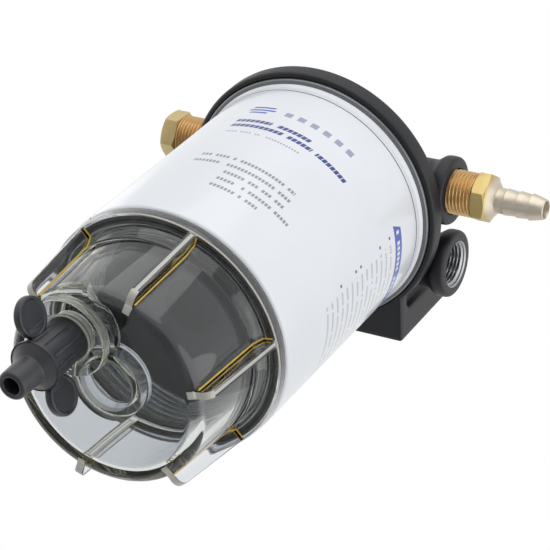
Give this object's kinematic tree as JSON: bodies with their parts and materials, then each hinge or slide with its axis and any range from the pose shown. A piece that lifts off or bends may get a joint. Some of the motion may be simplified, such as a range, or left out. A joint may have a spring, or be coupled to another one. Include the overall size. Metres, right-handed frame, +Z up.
{
  "type": "fuel water separator",
  "caption": "Spin-on fuel filter and water separator: cast head with wall bracket and ports, steel can, clear sediment bowl and drain valve.",
  "frame": {"origin": "centre of the two bracket bolts, on the bracket's mounting face", "axes": "+Z up along the can towards the bracket's top, +Y out of the mounting face into the wall, +X towards the hose fitting"},
  "size_m": [0.159, 0.1052, 0.2407],
  "materials": {
    "cast_head": "cast, with satin black paint",
    "white_can": "glossy white enamel on drawn steel",
    "lid_steel": "grey coated steel",
    "plated_steel": "zinc plated",
    "brass_fitting": "turned brass, clean",
    "rubber_seal": "matte nitrile rubber",
    "clear_bowl": "clear moulded plastic",
    "black_valve": "fine matte black",
    "filter_paper": "pleated filter paper",
    "end_cap": "dark coated sheet"
  },
  "bodies": {
    "head": {"filter_head": "cast_head", "centre_nipple": "plated_steel", "hose_barb_fitting": "brass_fitting", "port_plug": "brass_fitting"},
    "can_carrier": {"can_gasket": "rubber_seal"},
    "can": {"can_shell": "white_can", "seaming_lid": "lid_steel", "base_plate": "plated_steel", "bowl_thread_ring": "plated_steel", "filter_media": "filter_paper", "element_centre_tube": "plated_steel", "lower_end_cap": "end_cap", "upper_end_cap": "end_cap", "element_seal": "rubber_seal", "element_spring": "plated_steel"},
    "bowl_carrier": {"bowl_seal": "rubber_seal"},
    "bowl": {"bowl": "clear_bowl"},
    "drain_carrier": {"drain_seal": "rubber_seal"},
    "drain": {"drain_valve": "black_valve"}
  },
  "joints": [
    {"name": "can_lower", "type": "slide", "parent": "head", "child": "can_carrier", "axis": [0, 0, -1], "range_m": [0, 0.01362]},
    {"name": "can_unscrew", "type": "hinge", "parent": "can_carrier", "child": "can", "pos_m": [0, -0.054, 0], "axis": [0, 0, -1], "range_deg": [0, 2700]},
    {"name": "bowl_lower", "type": "slide", "parent": "can", "child": "bowl_carrier", "axis": [0, 0, -1], "range_m": [0, 0.01251]},
    {"name": "bowl_unscrew", "type": "hinge", "parent": "bowl_carrier", "child": "bowl", "pos_m": [0, -0.054, 0], "axis": [0, 0, -1], "range_deg": [0, 1800]},
    {"name": "drain_lower", "type": "slide", "parent": "bowl", "child": "drain_carrier", "axis": [0, 0, -1], "range_m": [0, 0.00301]},
    {"name": "drain_unscrew", "type": "hinge", "parent": "drain_carrier", "child": "drain", "pos_m": [-0.0102, -0.0723, 0], "axis": [0, 0, -1], "range_deg": [0, 720]}
  ],
  "couplings": [
    {"joint": "can_lower", "follows": "can_unscrew", "m_per_rad": 0.00028871},
    {"joint": "bowl_lower", "follows": "bowl_unscrew", "m_per_rad": 0.00039789},
    {"joint": "drain_lower", "follows": "drain_unscrew", "m_per_rad": 0.00023873}
  ]
}
